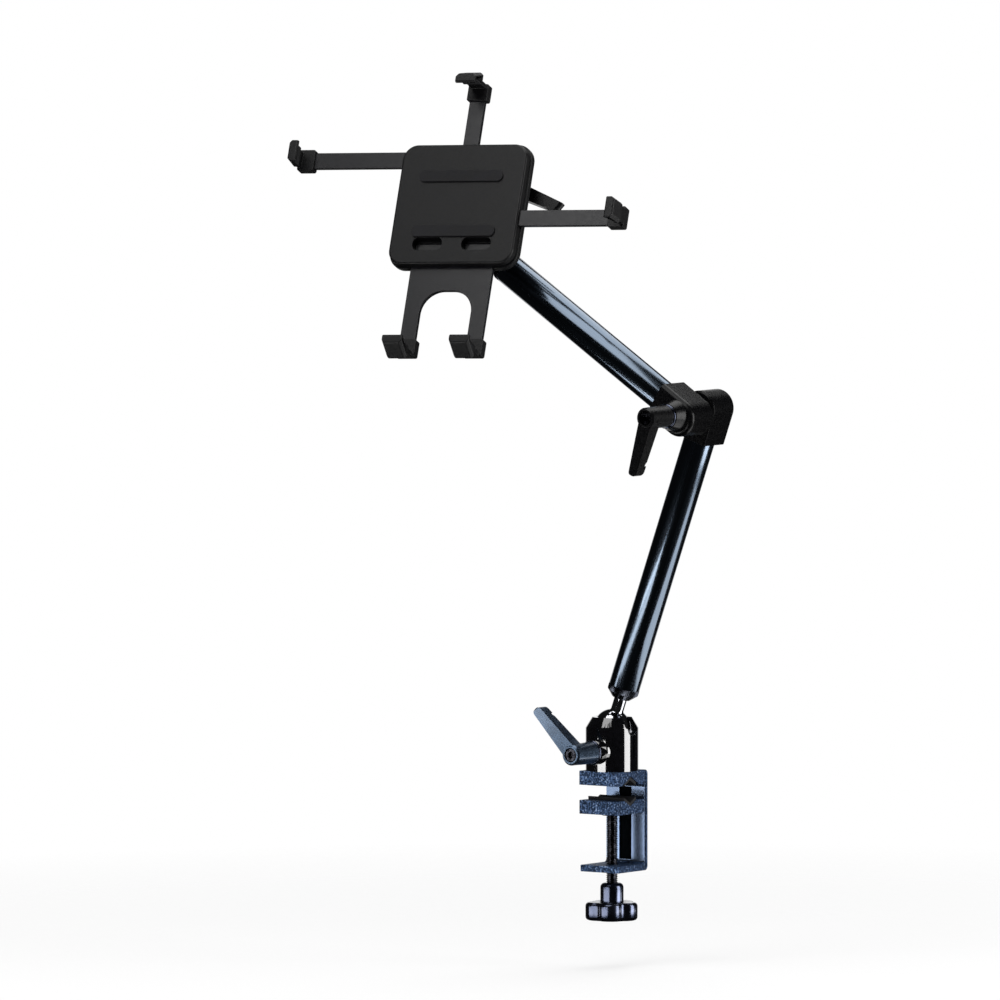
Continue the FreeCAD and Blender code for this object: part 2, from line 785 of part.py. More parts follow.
def hook_wall(reach):
    """The part of a hook beyond the tablet's edge: a block whose outer face slopes out to this reach at its
    rear, with a lip over the tablet's front."""
    half = hook_width / 2
    lip_low = tablet_thickness + hook_depth_gap
    lip_high = lip_low + hook_lip_thickness
    wall = prism([
        V(-half, hook_pad_thickness, hook_wall_low),
        V(-half, reach - hook_edge, hook_wall_low),
        V(-half, reach, hook_wall_low + hook_edge),
        V(-half, hook_front_reach, lip_high - hook_edge),
        V(-half, hook_front_reach - hook_edge, lip_high),
        V(-half, -hook_lip + hook_edge, lip_high),
        V(-half, -hook_lip, lip_high - hook_edge),
        V(-half, -hook_lip, lip_low),
        V(-half, hook_pad_thickness, lip_low),
    ], V(hook_width, 0, 0))
    middle = (reach + hook_front_reach) / 2
    sloping = [e for e in wall.Edges if abs(e.CenterOfMass.y - middle) < 0.01
               and abs(abs(e.CenterOfMass.x) - half) < 0.01]
    return wall.makeChamfer(hook_corner, sloping)


def hook(bar_low, width, reach):
    """A tablet hook, Y outwards from the tablet's edge and Z forwards from its back: a heel that takes the
    bar of this width, a neck and the wall."""
    half = hook_width / 2
    heel_low = bar_low - hook_heel
    heel_high = bar_low + bar_thickness + hook_heel
    neck_end = hook_pad_thickness + hook_neck_thickness
    heel = box(-half, half, -hook_back, neck_end, heel_low, heel_high)
    upright = [e for e in heel.Edges if abs(e.tangentAt(e.FirstParameter).z) > 0.99]
    heel = heel.makeChamfer(hook_edge, upright)
    neck = box(-hook_neck_width / 2, hook_neck_width / 2, hook_pad_thickness, neck_end, heel_low + hook_edge,
               hook_wall_low + overcut)
    body = heel.fuse([neck, hook_wall(reach)]).removeSplitter()
    return body.cut(box(-width / 2, width / 2, -hook_back - overcut, 0, bar_low, bar_low + bar_thickness))


def hook_pad():
    """The rubber lining of a hook's wall."""
    half = hook_width / 2 - hook_pad_margin
    return box(-half, half, 0, hook_pad_thickness, hook_wall_low, tablet_thickness + hook_depth_gap)


top_edge = tablet_rise + tablet_height / 2
side_edge = tablet_width / 2
rear_bar_low = back_shell_thickness - bar_thickness - bar_clearance
front_bar_low = back_shell_thickness + bar_clearance
edge_frames = {
    "top": cradle_frame * shift(0, top_edge, 0),
    "left": cradle_frame * shift(-side_edge, tablet_rise + left_bar_height, 0) * turn(Z_AXIS, 90),
    "right": cradle_frame * shift(side_edge, tablet_rise, 0) * turn(Z_AXIS, -90),
    "lower_left": cradle_frame * shift(-foot_spread, tablet_rise - tablet_height / 2, 0) * turn(Z_AXIS, 180),
    "lower_right": cradle_frame * shift(foot_spread, tablet_rise - tablet_height / 2, 0) * turn(Z_AXIS, 180),
}
side_bar_length = side_edge - housing_half_width + bar_engagement


def lever_parts(name, frame, stud_length):
    return {
        name + "_lever_washer": moved(lever_washer(), frame),
        name + "_lever_insert": moved(lever_insert(stud_length - loose_fit), frame),
        name + "_lever_handle": moved(lever_handle(), frame),
        name + "_lever_cap_screw": moved(lever_cap_screw(), frame),
    }


def clamp_parts():
    return {
        "clamp_frame": clamp_frame(),
        "upper_jaw_pad": upper_jaw_pad(),
        "lower_jaw": lower_jaw(),
        "lower_jaw_pad": lower_jaw_pad(),
        "clamp_screw": clamp_screw(),
        "thrust_washer": thrust_washer(),
        "star_knob": star_knob(),
        "knob_cap": knob_cap(),
    }


def arm_parts():
    head_to_pivot = boss_reach + stud_far_end
    elbow_stud = elbow_boss_height + knuckle_width + running_fit + elbow_washer_thickness + elbow_thread_depth
    flange_seat = flange_top - groove_height(0, pad_thickness)
    parts = {
        "base_ball_head": moved(ball_head(), base_head_frame),
        "base_head_screw": moved(head_screw(flange_seat + running_fit), base_head_frame),
        "base_ball_stem": moved(ball_stem(), lower_arm_frame),
        "lower_arm_plug": moved(end_plug(), lower_arm_frame),
        "lower_arm_tube": moved(arm_tube(lower_arm_length), lower_arm_frame),
        "lower_knuckle": moved(lower_knuckle(), elbow_frame),
        "elbow_washer": moved(elbow_washer(), elbow_frame),
        "upper_knuckle": moved(upper_knuckle(), upper_arm_frame, turn(Y_AXIS, 180)),
        "upper_arm_tube": moved(arm_tube(upper_arm_length), head_stem_frame),
        "upper_arm_plug": moved(end_plug(), head_stem_frame),
        "cradle_ball_stem": moved(ball_stem(), head_stem_frame),
        "cradle_ball_head": moved(ball_head(), head_frame),
        "cradle_head_screw": moved(head_screw(head_screw_seat + running_fit), head_frame),
    }
    parts.update(lever_parts("base", base_lever_frame, head_to_pivot))
    parts.update(lever_parts("elbow", elbow_lever_frame, elbow_stud))
    parts.update(lever_parts("cradle", head_lever_frame, head_to_pivot))
    return parts


def cradle_parts():
    bars = {
        "top": (rear_bar_low, top_edge - housing_top + bar_engagement, top_hook_reach),
        "left": (front_bar_low, side_bar_length, side_hook_reach),
        "right": (front_bar_low, side_bar_length, side_hook_reach),
    }
    parts = {
        "cradle_back_shell": moved(cradle_back(), cradle_frame),
        "cradle_front_shell": moved(cradle_front(), cradle_frame),
        "upper_pad_strip": moved(pad_strip(1), cradle_frame),
        "lower_pad_strip": moved(pad_strip(-1), cradle_frame),
        "foot_bracket": moved(foot_bracket(), cradle_frame),
    }
    for name, (low, length, reach) in bars.items():
        frame = edge_frames[name]
        parts[name + "_bar"] = moved(sliding_bar(length), frame, shift(0, 0, low))
        parts[name + "_hook"] = moved(hook(low - tablet_back, bar_width, reach), frame,
                                      shift(0, 0, tablet_back))
    for name in ("lower_left", "lower_right"):
        frame = edge_frames[name] * shift(0, 0, tablet_back)
        lower_hook = hook(rear_bar_low - tablet_back, foot_bar_width, lower_hook_reach)
        parts[name + "_hook"] = moved(lower_hook, frame)
    for name, frame in edge_frames.items():
        parts[name + "_hook_pad"] = moved(hook_pad(), frame, shift(0, 0, tablet_back))
    return parts


os.makedirs("parts", exist_ok=True)
for parts in (clamp_parts(), arm_parts(), cradle_parts()):
    for name, shape in parts.items():
        shape.exportStep("parts/" + name + ".step")
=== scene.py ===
import json
from math import atan2, cos, pi, radians, sin, sqrt

import bpy
from bpy.props import FloatProperty, FloatVectorProperty, IntProperty, PointerProperty
from mathutils import Matrix, Vector

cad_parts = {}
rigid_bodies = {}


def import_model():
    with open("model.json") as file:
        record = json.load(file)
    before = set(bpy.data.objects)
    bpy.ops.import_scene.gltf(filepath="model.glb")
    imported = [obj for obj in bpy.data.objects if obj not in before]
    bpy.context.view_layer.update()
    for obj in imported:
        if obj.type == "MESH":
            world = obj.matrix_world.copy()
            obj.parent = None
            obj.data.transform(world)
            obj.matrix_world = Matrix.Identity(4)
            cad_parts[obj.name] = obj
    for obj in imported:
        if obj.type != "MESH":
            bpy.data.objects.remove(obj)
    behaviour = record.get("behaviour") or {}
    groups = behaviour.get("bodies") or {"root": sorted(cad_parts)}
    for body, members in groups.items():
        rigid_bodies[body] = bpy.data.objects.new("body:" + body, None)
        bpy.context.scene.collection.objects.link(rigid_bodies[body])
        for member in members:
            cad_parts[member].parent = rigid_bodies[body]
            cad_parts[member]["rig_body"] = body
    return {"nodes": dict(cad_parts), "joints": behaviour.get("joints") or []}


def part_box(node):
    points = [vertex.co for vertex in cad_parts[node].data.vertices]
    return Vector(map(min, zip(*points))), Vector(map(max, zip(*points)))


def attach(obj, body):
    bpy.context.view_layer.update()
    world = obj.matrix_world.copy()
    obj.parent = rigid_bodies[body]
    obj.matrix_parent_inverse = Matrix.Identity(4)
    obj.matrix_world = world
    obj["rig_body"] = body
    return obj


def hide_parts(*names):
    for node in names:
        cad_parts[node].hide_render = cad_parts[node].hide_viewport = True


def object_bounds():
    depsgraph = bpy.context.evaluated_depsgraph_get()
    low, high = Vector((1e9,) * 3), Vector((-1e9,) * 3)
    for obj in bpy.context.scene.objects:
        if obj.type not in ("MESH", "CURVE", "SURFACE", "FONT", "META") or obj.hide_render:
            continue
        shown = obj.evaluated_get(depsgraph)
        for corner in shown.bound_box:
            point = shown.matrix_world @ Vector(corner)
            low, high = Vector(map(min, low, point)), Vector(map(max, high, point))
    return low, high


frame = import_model()
cad_box = [list(corner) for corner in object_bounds()]

bl_info = {
    "name": "Car seat tablet mount",
    "version": (1, 0, 0),
    "blender": (4, 5, 0),
    "location": "3D View > Sidebar > Tablet mount",
    "description": "Finishes the solids of a clamp-on tablet mount: edges, threads, knurls and surfaces",
    "category": "Add Mesh",
}

MM = 0.001
DEGREE = radians(1)
MERGED = 0.002 * MM  # points closer than this are one
Y_AXIS = Vector((0, 1, 0))
Z_AXIS = Vector((0, 0, 1))


def linear(code):
    """An sRGB hex colour as the linear colour that a shader takes."""
    values = [int(code[i:i + 2], 16) / 255 for i in (1, 3, 5)]
    return (*[v / 12.92 if v <= 0.04045 else ((v + 0.055) / 1.055) ** 2.4 for v in values], 1.0)


def length(name, description, millimetres):
    """A length that a user can change, in metres."""
    return FloatProperty(name=name, description=description, default=millimetres * MM, unit="LENGTH")


def colour(name, description, code):
    """A colour that a user can change, given as an sRGB hex code."""
    return FloatVectorProperty(name=name, description=description, default=linear(code),
                               subtype="COLOR", size=4)


class MountSizes(bpy.types.PropertyGroup):
    """Sizes of the detail that the solids leave open."""
    thread_pitch: length("Thread pitch", "Rise of the clamp screw's thread in one turn", 1.25)
    thread_depth: length("Thread depth", "Depth of the clamp screw's thread", 0.7)
    clamp_wall: length("Clamp wall", "How far the clamp's inner wall lies behind the screw's axis", 16.0)
    guide_depth: length("Guide depth", "Depth of the moving jaw's guide in that wall", 1.6)
    cast_edge: length("Cast edge", "Rounding of the edges of cast pieces", 0.6)
    machined_edge: length("Machined edge", "Broken edge of machined pieces", 0.3)
    moulded_edge: length("Moulded edge", "Rounding of the edges of moulded pieces", 0.8)
    shell_edge: length("Shell edge", "Rounding of the edges of the cradle's shells", 0.5)
    lining_edge: length("Lining edge", "Rounding of the edges of linings and thin discs", 0.2)
    socket_width: length("Socket width", "Width across the flats of a lever screw's socket", 4.4)
    socket_depth: length("Socket depth", "Depth of a lever screw's socket", 2.2)
    knurl_teeth: IntProperty(name="Knurl teeth", description="Ridges round each plug's band", default=60)
    knurl_depth: length("Knurl depth", "Depth of the grooves in each plug's band", 0.35)


class MountColours(bpy.types.PropertyGroup):
    """Colours of the finishes."""
    coat: colour("Powder coat", "Raised grain of the clamp's powder coat", "#47618a")
    # the hollows' near-black is painted shade, laid where the grain's relief is lowest
    painted_hollow_shade: colour("Powder coat hollows", "Hollows of the clamp's powder coat", "#0b1627")
    enamel: colour("Enamel", "Gloss enamel of the ball heads", "#040406")
    anodised: colour("Anodised tube", "Dyed anodising of the tubes", "#606c7a")
    cast_grey: colour("Lever grey", "Painted die casting of the base lever", "#54657a")
    cast_black: colour("Lever black", "Painted die casting of the other levers", "#060608")
    moulding: colour("Black moulding", "Moulded plastic of the cradle and hooks", "#0a0a0c")


def sizes():
    return bpy.context.scene.mount_sizes


def colours():
    return bpy.context.scene.mount_colours


# Finishes

def add(tree, kind, settings=None, **links):
    """Add a shader node, set its values, and link its inputs to other nodes' first outputs or to the outputs
    given. A link's name is its socket's, with _ for a space, or _0, _1 and so on for a socket's number."""
    node = tree.nodes.new("ShaderNode" + kind)
    for key, value in (settings or {}).items():
        if isinstance(key, int) or key in node.inputs:
            node.inputs[key].default_value = value
        else:
            setattr(node, key, value)
    for key, source in links.items():
        socket = int(key[1:]) if key[0] == "_" else key.replace("_", " ")
        output = source.outputs[0] if isinstance(source, bpy.types.Node) else source
        tree.links.new(output, node.inputs[socket])
    return node


def blank(name):
    """An empty material. Returns its tree and the place on the object that its patterns follow."""
    material = bpy.data.materials.new(name)
    material.use_nodes = True
    material.node_tree.nodes.clear()
    return material.node_tree, add(material.node_tree, "TexCoord").outputs["Object"]


def dress(tree, values, **links):
    """Close a material with the shader that its patterns feed."""
    add(tree, "OutputMaterial", Surface=add(tree, "BsdfPrincipled", values, **links))


def lumps(size, detail=2.0):
    """Settings of a noise whose lumps have this size in metres."""
    return {"Scale": 1 / size, "Detail": detail}


def stretch(low, high, start=0.35, end=0.65):
    """Settings that stretch a noise, which lies from start to end, over the range from low to high."""
    return {"From Min": start, "From Max": end, "To Min": low, "To Max": high}


def shades(dark, light):
    """Settings of a mix of two colours."""
    return {"Color1": dark, "Color2": light}


def darker(shade, share):
    """A colour with only a share of its light."""
    return (*[channel * share for channel in shade[:3]], 1.0)


def textured_powder_coat():
    """Textured polyester powder coat on a cast clamp: blue grains over hollows painted near-black as shade,
    with painted pale highlights on the highest grains."""
    tree, place = blank("textured_powder_coat")
    # a real grain is about 0.4 mm: drawn coarser so that it shows
    grain = add(tree, "TexNoise", lumps(1.2 * MM, 3.0), Vector=place)
    facet = add(tree, "TexVoronoi", {"Scale": 1 / (1.5 * MM)}, Vector=place)
    cloud = add(tree, "TexNoise", lumps(14 * MM), Vector=place)
    # painted shade: where the grain's relief is low the coat takes the near-black of its hollows, and a cloud
    # varies that share at random
    amount = add(tree, "Math", {"operation": "MULTIPLY"},
                 _0=add(tree, "MapRange", stretch(0.0, 1.0, 0.44, 0.60), Value=grain),
                 _1=add(tree, "MapRange", stretch(0.6, 1.0), Value=cloud))
    paint = add(tree, "MixRGB", shades(colours().painted_hollow_shade, colours().coat), Fac=amount)
    # painted highlight: the highest grains are painted pale, as if they caught the light
    painted_glint = add(tree, "MapRange", stretch(0.0, 0.6, 0.61, 0.68), Value=grain)
    tint = add(tree, "MixRGB", {"Color2": linear("#aab9d0")}, Fac=painted_glint, Color1=paint)
    height = add(tree, "Math", {"operation": "SUBTRACT"}, _0=grain,
                 _1=add(tree, "Math", {"operation": "MULTIPLY", 1: 0.2}, _0=facet.outputs["Distance"]))
    # the wall that the jaw slides along is masked from the grain and has a smooth metallic paint, and the
    # floor of its guide is painted black as shade, with its shine taken away: both masks pick faces by how
    # far back they lie
    across = add(tree, "SeparateXYZ", Vector=place).outputs["Y"]
    wall_plane, slack = sizes().clamp_wall, 0.4 * MM
    guide_plane = wall_plane + sizes().guide_depth
    wall = add(tree, "Math", {"operation": "COMPARE", 1: wall_plane, 2: slack}, _0=across)
    guide = add(tree, "Math", {"operation": "COMPARE", 1: guide_plane, 2: slack}, _0=across)
    # painted shade: the floor of the guide is painted near-black and loses its shine
    guide_in_painted_shade = add(tree, "MixRGB", {"Color2": linear("#030405")}, Fac=guide, Color1=tint)
    dress(tree, {"Specular Tint": linear("#a9c4ee")},
          Base_Color=add(tree, "MixRGB", {"Color2": linear("#73849f")}, Fac=wall, Color1=guide_in_painted_shade),
          Metallic=add(tree, "MapRange", stretch(0.25, 0.9, 0.0, 1.0), Value=wall),
          Specular_IOR_Level=add(tree, "MapRange", stretch(0.5, 0.02, 0.0, 1.0), Value=guide),
          Roughness=add(tree, "Mix", {"B": 0.22}, Factor=wall,
                        A=add(tree, "MapRange", stretch(0.6, 0.34), Value=grain)),
          Normal=add(tree, "Bump", {"Distance": 0.14 * MM}, Height=height,
                     Strength=add(tree, "Math", {"operation": "SUBTRACT", 0: 1.0}, _1=wall)))


def moulded_rubber():
    """EPDM rubber, moulded: dull black with a bloom that greys it in patches."""
    tree, place = blank("moulded_rubber")
    bloom = add(tree, "TexNoise", lumps(6 * MM, 4.0), Vector=place)
    # a moulded skin's own grain is about 0.2 mm: drawn coarser so that it shows
    skin = add(tree, "TexNoise", lumps(0.9 * MM), Vector=place)
    patches = add(tree, "MapRange", stretch(0.0, 1.0), Value=bloom)
    dress(tree, {"IOR": 1.52},
          Base_Color=add(tree, "MixRGB", shades(linear("#0e0e10"), linear("#1b1b1e")), Fac=patches),
          Roughness=add(tree, "MapRange", stretch(0.72, 0.9), Value=bloom),
          Normal=add(tree, "Bump", {"Distance": 0.05 * MM}, Height=skin))


def black_oxide_steel():
    """Steel with black oxide, oiled: nearly black, with paler places where it has been rubbed."""
    tree, place = blank("black_oxide_steel")
    rub = add(tree, "TexNoise", lumps(2.5 * MM, 4.0), Vector=place)
    # the oxide's own texture is under 0.1 mm: drawn coarser so that it shows
    fine = add(tree, "TexNoise", lumps(0.7 * MM), Vector=place)
    rubbed = add(tree, "MapRange", stretch(0.0, 1.0, 0.45, 0.7), Value=rub)
    dress(tree, {"Metallic": 1.0},
          Base_Color=add(tree, "MixRGB", shades(linear("#1c1c20"), linear("#54555c")), Fac=rubbed),
          Roughness=add(tree, "MapRange", stretch(0.2, 0.36), Value=rub),
          Normal=add(tree, "Bump", {"Distance": 0.02 * MM}, Height=fine))


def gloss_nylon():
    """Glossy moulded nylon: deep black with a slight flow ripple."""
    tree, place = blank("gloss_nylon")
    flow = add(tree, "TexNoise", lumps(9 * MM), Vector=place)
    swirl = add(tree, "MapRange", stretch(0.0, 1.0), Value=flow)
    # the IOR is above nylon's own 1.53, matched to how brightly the knob shines
    dress(tree, {"IOR": 1.95, "Specular Tint": linear("#bccdff"), "Coat Weight": 0.5, "Coat Roughness": 0.08},
          Base_Color=add(tree, "MixRGB", shades(linear("#040406"), linear("#09090c")), Fac=swirl),
          Roughness=add(tree, "MapRange", stretch(0.14, 0.24), Value=flow),
          Normal=add(tree, "Bump", {"Distance": 0.05 * MM}, Height=flow))


def gloss_enamel():
    """Baked gloss enamel on a die casting: mirror black with faint orange peel."""
    tree, place = blank("gloss_enamel")
    peel = add(tree, "TexNoise", lumps(2.2 * MM, 1.0), Vector=place)
    wave = add(tree, "TexNoise", lumps(12 * MM), Vector=place)
    depth = add(tree, "MapRange", stretch(0.0, 1.0), Value=peel)
    # the IOR is above enamel's own 1.5, matched to the ball head's clear reflections
    dress(tree, {"IOR": 1.7, "Coat Weight": 1.0, "Coat Roughness": 0.03, "Coat IOR": 1.7},
          Base_Color=add(tree, "MixRGB", shades(colours().enamel, linear("#08080b")), Fac=depth),
          Roughness=add(tree, "MapRange", stretch(0.07, 0.13), Value=wave),
          Normal=add(tree, "Bump", {"Distance": 0.006 * MM}, Height=peel))


def polished_chrome():
    """Hard chrome, polished: near mirror with the faintest haze of handling."""
    tree, place = blank("polished_chrome")
    haze = add(tree, "TexNoise", lumps(5 * MM, 4.0), Vector=place)
    cloud = add(tree, "MapRange", stretch(0.0, 1.0), Value=haze)
    dress(tree, {"Metallic": 1.0},
          Base_Color=add(tree, "MixRGB", shades(linear("#b4b6bc"), linear("#cdcfd4")), Fac=cloud),
          Roughness=add(tree, "MapRange", stretch(0.05, 0.11), Value=haze),
          Normal=add(tree, "Bump", {"Distance": 0.002 * MM}, Height=haze))


def drawn_anodised(name, along):
    """Drawn aluminium tube, dyed black and anodised: a glossy metal with hair-fine die lines along it."""
    tree, place = blank(name)
    # the pattern is turned to the tube's axis and drawn out fifty times along it
    upright = add(tree, "Mapping", {"Rotation": along.to_3x3().inverted().to_euler()}, Vector=place)
    drawn_out = add(tree, "Mapping", {"Scale": (1, 1, 0.02)}, Vector=upright)
    # real die lines are about 0.1 mm apart: drawn coarser so that they show
    line = add(tree, "TexNoise", lumps(0.8 * MM, 3.0), Vector=drawn_out)
    drawn = add(tree, "MapRange", stretch(0.0, 1.0), Value=line)
    tint = add(tree, "MixRGB", shades(darker(colours().anodised, 0.85), colours().anodised), Fac=drawn)
    dress(tree, {"Metallic": 1.0, "Coat Weight": 0.3, "Coat Roughness": 0.05}, Base_Color=tint,
          Roughness=add(tree, "MapRange", stretch(0.15, 0.2), Value=line),
          Normal=add(tree, "Bump", {"Distance": 0.0004 * MM}, Height=line))


def turned_anodised():
    """Turned aluminium, dyed black: fine marks left by the tool break up its shine."""
    tree, place = blank("turned_anodised")
    # real tool marks are about 0.1 mm apart: drawn coarser so that they show
    cut_marks = add(tree, "TexNoise", lumps(1.4 * MM, 3.0), Vector=place)
    paler = add(tree, "MapRange", stretch(0.0, 1.0), Value=cut_marks)
    dress(tree, {"Metallic": 1.0},
          Base_Color=add(tree, "MixRGB", shades(linear("#33353b"), linear("#4e525b")), Fac=paler),
          Roughness=add(tree, "MapRange", stretch(0.18, 0.27), Value=cut_marks),
          Normal=add(tree, "Bump", {"Distance": 0.006 * MM}, Height=cut_marks))


def satin_enamel():
    """Satin enamel on the elbow castings: deep black, with a fine orange peel that scatters its shine."""
    tree, place = blank("satin_enamel")
    peel = add(tree, "TexNoise", lumps(1.0 * MM, 2.0), Vector=place)
    wave = add(tree, "MapRange", stretch(0.0, 1.0), Value=peel)
    # the IOR is below enamel's own 1.5, matched to how dark the elbow stays
    dress(tree, {"IOR": 1.3},
          Base_Color=add(tree, "MixRGB", shades(linear("#030304"), linear("#08080a")), Fac=wave),
          Roughness=add(tree, "MapRange", stretch(0.22, 0.36), Value=peel),
          Normal=add(tree, "Bump", {"Distance": 0.02 * MM}, Height=peel))


def painted_casting(name, shade, shine):
    """Painted zinc die casting: a fine even grain over soft edges, a little paler where it is handled. Shine,
    from 0 to 1, is how much metal flake and clear lacquer the paint has."""
    tree, place = blank(name)
    # the paint's own grain is about 0.2 mm: drawn coarser so that it shows
    grain = add(tree, "TexNoise", lumps(0.9 * MM, 2.0), Vector=place)
    worn = add(tree, "TexNoise", lumps(10 * MM, 3.0), Vector=place)
    speckle = add(tree, "Math", {"operation": "ADD", "use_clamp": True},
                  _0=add(tree, "MapRange", stretch(0.0, 0.6), Value=worn),
                  _1=add(tree, "MapRange", stretch(0.0, 0.5), Value=grain))
    dress(tree, {"Metallic": 0.96 * shine, "Coat Weight": 0.5 * shine, "Coat Roughness": 0.12, "IOR": 1.45},
          Base_Color=add(tree, "MixRGB", shades(darker(shade, 0.55), shade), Fac=speckle),
          Roughness=add(tree, "MapRange", stretch(0.26, 0.4), Value=grain),
          Normal=add(tree, "Bump", {"Distance": 0.03 * MM}, Height=grain))


def grained_abs():
    """Moulded ABS with a spark-eroded grain: charcoal black and almost matt."""
    tree, place = blank("grained_abs")
    # a real eroded grain is about 0.1 mm: drawn coarser so that it shows
    grain = add(tree, "TexNoise", lumps(0.8 * MM, 2.0), Vector=place)
    pits = add(tree, "MapRange", stretch(0.0, 1.0), Value=grain)
    tint = add(tree, "MixRGB", shades(darker(colours().moulding, 0.6), colours().moulding), Fac=pits)
    dress(tree, {"IOR": 1.46}, Base_Color=tint,
          Roughness=add(tree, "MapRange", stretch(0.4, 0.56), Value=grain),
          Normal=add(tree, "Bump", {"Distance": 0.03 * MM}, Height=grain))


def painted_strip():
    """Steel strip with satin black paint: faint rolling marks show through the paint."""
    tree, place = blank("painted_strip")
    marks = add(tree, "TexNoise", lumps(3 * MM, 3.0), Vector=place)
    rolled = add(tree, "MapRange", stretch(0.0, 1.0), Value=marks)
    dress(tree, {"IOR": 1.5, "Coat Weight": 0.2, "Coat Roughness": 0.2},
          Base_Color=add(tree, "MixRGB", shades(linear("#0a0a0d"), linear("#121216")), Fac=rolled),
          Roughness=add(tree, "MapRange", stretch(0.32, 0.44), Value=marks),
          Normal=add(tree, "Bump", {"Distance": 0.01 * MM}, Height=marks))


# Each of the record's material slots and the finish that it gets
finish_of_slot = {
    "clamp_paint": "textured_powder_coat",
    "jaw_rubber": "moulded_rubber",
    "screw_steel": "black_oxide_steel",
    "knob_plastic": "gloss_nylon",
    "head_paint": "gloss_enamel",
    "ball_chrome": "polished_chrome",
    "plug_metal": "turned_anodised",
    "tube_anodised": "drawn_anodised_lower",
    "knuckle_paint": "satin_enamel",
    "lever_grey": "grey_casting",
    "lever_black": "black_casting",
    "shell_plastic": "grained_abs",
    "pad_rubber": "moulded_rubber",
    "bar_paint": "painted_strip",
    "hook_plastic": "grained_abs",
}


# The record's material slot of each solid, read before its finish is put on
slot_of_node = {name: part.data.materials[0].name for name, part in frame["nodes"].items()}


# Places of the mount, each with its Z axis along its own piece

joints = {joint["name"]: joint for joint in frame["joints"]}


def axis(joint):
    return Vector(joints[joint]["axis"])


def standing(joint, up, side):
    """The place on a joint's axis with Z along up and Y along side."""
    across = side.cross(up).normalized()
    place = Matrix((across, up.cross(across), up)).transposed().to_4x4()
    place.translation = Vector(joints[joint]["pos_m"])
    return place


lower_arm_place = standing("base_twist", axis("base_twist"), Y_AXIS)
upper_arm_place = standing("cradle_twist", axis("cradle_twist"), Y_AXIS)


def lever_place(name):
    """A lever's foot, with X towards the tip of its handle."""
    joint = name + "_lever_turn"
    foot = Vector(joints[joint]["pos_m"])
    up = axis(joint)
    handle = frame["nodes"][name + "_lever_handle"].data
    reach = [(point.co - foot) - up * up.dot(point.co - foot) for point in handle.vertices]
    furthest = max(step.length for step in reach)
    # the tip's direction is that of the points past nine tenths of the handle's reach
    tip = sum((step for step in reach if step.length > 0.9 * furthest), Vector())
    return standing(joint, up, up.cross(tip).normalized())


# Modelling steps

def deselect():
    for item in bpy.context.selected_objects:
        item.select_set(False)


def begin(piece):
    """Make a piece the only selected one."""
    deselect()
    piece.select_set(True)
    bpy.context.view_layer.objects.active = piece


def edit():
    """Open the active piece for editing, with all its points selected."""
    bpy.ops.object.mode_set(mode="EDIT")
    bpy.ops.mesh.select_mode(type="VERT")
    bpy.ops.mesh.select_all(action="SELECT")


def leave():
    bpy.ops.object.mode_set(mode="OBJECT")


def modified(piece, kind, **settings):
    """Add a modifier and apply it."""
    begin(piece)
    modifier = piece.modifiers.new(kind, kind)
    for key, value in settings.items():
        setattr(modifier, key, value)
    bpy.ops.object.modifier_apply(modifier=modifier.name)


def softened(piece, width, segments=3):
    """Round the edges that turn by more than 32 degrees."""
    modified(piece, "BEVEL", width=width, segments=segments, limit_method="ANGLE",
             angle_limit=32 * DEGREE)


def smoothed(piece, angle=35):
    """Shade a piece smooth, with a crease where it turns by more than an angle in degrees."""
    begin(piece)
    bpy.ops.object.shade_smooth_by_angle(angle=angle * DEGREE)


def cut(piece, cutter):
    """Cut a shape out of a piece. The shape itself goes."""
    modified(piece, "BOOLEAN", operation="DIFFERENCE", object=cutter, solver="EXACT")
    bpy.data.objects.remove(cutter)


def turned(name, outline, steps=96):
    """Spin an outline of (radius, height) points in millimetres about Z into a closed body."""
    deselect()
    bpy.ops.mesh.primitive_plane_add(size=MM)
    piece = bpy.context.object
    piece.name = name
    edit()
    bpy.ops.mesh.merge(type="CENTER")
    here = Vector((0, 0, 0))
    for index, (radius, height) in enumerate(outline):
        there = Vector((radius, 0, height)) * MM
        if index == 0:
            bpy.ops.transform.translate(value=there)
        else:
            bpy.ops.mesh.extrude_region_move(TRANSFORM_OT_translate={"value": there - here})
        here = there
    bpy.ops.mesh.select_all(action="SELECT")
    bpy.ops.mesh.spin(steps=steps, angle=2 * pi, center=(0, 0, 0), axis=(0, 0, 1))
    bpy.ops.mesh.select_all(action="SELECT")
    bpy.ops.mesh.remove_doubles(threshold=MERGED)
    bpy.ops.mesh.normals_make_consistent(inside=False)
    leave()
    return piece


def arc(radius, start, end, count, centre=(0, 0)):
    """Points of an arc in an outline, angles in degrees from the radius axis up."""
    angles = [radians(start + (end - start) * index / count) for index in range(count + 1)]
    return [(centre[0] + radius * cos(a), centre[1] + radius * sin(a)) for a in angles]


def set_in(piece, place):
    """Move a piece's mesh to its place, so that the object itself stays at the origin."""
    piece.data.transform(place)
    piece.data.update()


def stands_for(piece, name, material=None):
    """Let a piece take the place of one CAD node, with that node's body, slot and finish."""
    body = frame["nodes"][name]["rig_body"]
    slot = slot_of_node[name]
    piece.data.materials.clear()
    piece.data.materials.append(bpy.data.materials[material or finish_of_slot[slot]])
    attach(piece, body)
    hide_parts(name)


def edged(name, width):
    """A CAD node's shape with its edges rounded, standing for the node."""
    piece = bpy.data.objects.new(name + "_edged", frame["nodes"][name].data.copy())
    bpy.context.scene.collection.objects.link(piece)
    begin(piece)
    bpy.ops.mesh.customdata_custom_splitnormals_clear()
    edit()
    bpy.ops.mesh.remove_doubles(threshold=MERGED)
    bpy.ops.mesh.dissolve_limited(angle_limit=0.6 * DEGREE)
    leave()
    softened(piece, width)
    smoothed(piece)
    modified(piece, "WEIGHTED_NORMAL", keep_sharp=True)
    stands_for(piece, name)


